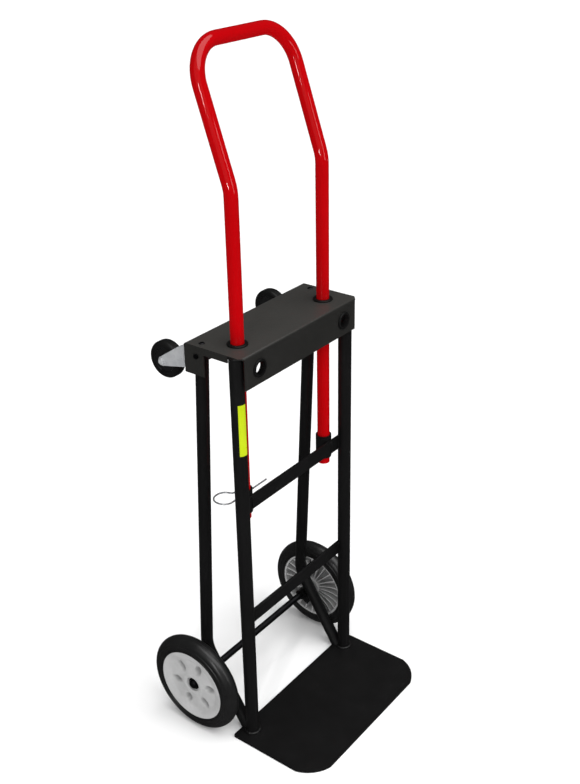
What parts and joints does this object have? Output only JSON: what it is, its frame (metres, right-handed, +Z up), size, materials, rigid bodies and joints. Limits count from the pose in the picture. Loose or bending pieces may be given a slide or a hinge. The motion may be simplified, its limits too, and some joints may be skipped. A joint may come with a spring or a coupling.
{
  "type": "convertible hand truck",
  "caption": "Tube-framed hand truck with a toe plate and a lift-out handle; casters at the head let it lie down as a platform truck.",
  "frame": {"origin": "on the floor, at the middle of the truck's footprint", "axes": "+Z up along the front uprights, -Y towards the toe plate's front edge, +X to the right seen from the front with the toe plate nearest"},
  "size_m": [0.399, 0.359, 1.2213],
  "materials": {
    "frame_black": "satin black powder coat with a fine orange-peel texture",
    "channel_black": "satin black powder coat on folded sheet",
    "handle_red": "glossy red powder coat",
    "bushing_plastic": "black moulded nylon",
    "tyre_rubber": "solid black rubber with a fine mould line",
    "hub_plastic": "light grey moulded polypropylene",
    "bush_plastic": "off-white nylon",
    "zinc_steel": "bright zinc plate",
    "axle_steel": "oiled cold-drawn steel",
    "cap_black": "black oxide",
    "caster_core": "black moulded plastic",
    "caster_tread": "soft black tread",
    "label_yellow": "bright yellow vinyl film, blank",
    "pin_wire": "bright zinc-plated spring wire"
  },
  "bodies": {
    "truck_frame": {"toe_plate": "frame_black", "front_upright_left": "frame_black", "front_upright_right": "frame_black", "rear_tube_left": "frame_black", "rear_tube_right": "frame_black", "top_channel": "channel_black", "upper_crossbar": "frame_black", "lower_crossbar": "frame_black", "handle_socket_left": "frame_black", "handle_socket_right": "frame_black", "top_bushing_left": "bushing_plastic", "top_bushing_right": "bushing_plastic", "front_bushing_left": "bushing_plastic", "front_bushing_right": "bushing_plastic", "head_screws": "cap_black", "end_bolts": "cap_black", "safety_label": "label_yellow", "axle": "axle_steel", "axle_bracket_left": "frame_black", "axle_bracket_right": "frame_black", "axle_spacers": "axle_steel", "axle_washers": "axle_steel", "axle_caps": "cap_black", "caster_mount_left": "zinc_steel", "caster_nut_left": "zinc_steel", "caster_mount_right": "zinc_steel", "caster_nut_right": "zinc_steel"},
    "wheel_left": {"tyre_left": "tyre_rubber", "hub_left": "hub_plastic", "wheel_bush_left": "bush_plastic"},
    "caster_swivel_left": {"caster_fork_left": "zinc_steel", "caster_axle_left": "zinc_steel"},
    "caster_wheel_left": {"caster_core_left": "caster_core", "caster_tread_left": "caster_tread"},
    "wheel_right": {"tyre_right": "tyre_rubber", "hub_right": "hub_plastic", "wheel_bush_right": "bush_plastic"},
    "caster_swivel_right": {"caster_fork_right": "zinc_steel", "caster_axle_right": "zinc_steel"},
    "caster_wheel_right": {"caster_core_right": "caster_core", "caster_tread_right": "caster_tread"},
    "handle": {"handle_tube": "handle_red"},
    "lock_pin_body": {"lock_pin": "pin_wire"}
  },
  "joints": [
    {"name": "wheel_left_spin", "type": "hinge", "parent": "truck_frame", "child": "wheel_left", "pos_m": [-0.184, 0.0845, 0.095], "axis": [1, 0, 0], "continuous": true},
    {"name": "caster_left_swivel", "type": "hinge", "parent": "truck_frame", "child": "caster_swivel_left", "pos_m": [-0.136, 0.0858, 0.735], "axis": [0, 1, 0], "continuous": true},
    {"name": "caster_left_roll", "type": "hinge", "parent": "caster_swivel_left", "child": "caster_wheel_left", "pos_m": [-0.136, 0.1425, 0.713], "axis": [1, 0, 0], "continuous": true},
    {"name": "wheel_right_spin", "type": "hinge", "parent": "truck_frame", "child": "wheel_right", "pos_m": [0.184, 0.0845, 0.095], "axis": [1, 0, 0], "continuous": true},
    {"name": "caster_right_swivel", "type": "hinge", "parent": "truck_frame", "child": "caster_swivel_right", "pos_m": [0.136, 0.0858, 0.735], "axis": [0, 1, 0], "continuous": true},
    {"name": "caster_right_roll", "type": "hinge", "parent": "caster_swivel_right", "child": "caster_wheel_right", "pos_m": [0.136, 0.1425, 0.713], "axis": [1, 0, 0], "continuous": true},
    {"name": "handle_lift", "type": "slide", "parent": "truck_frame", "child": "handle", "axis": [0, 0, 1], "range_m": [0, 0.335]},
    {"name": "lock_pin_pull", "type": "slide", "parent": "truck_frame", "child": "lock_pin_body", "axis": [-1, 0, 0], "range_m": [0, 0.08]}
  ]
}
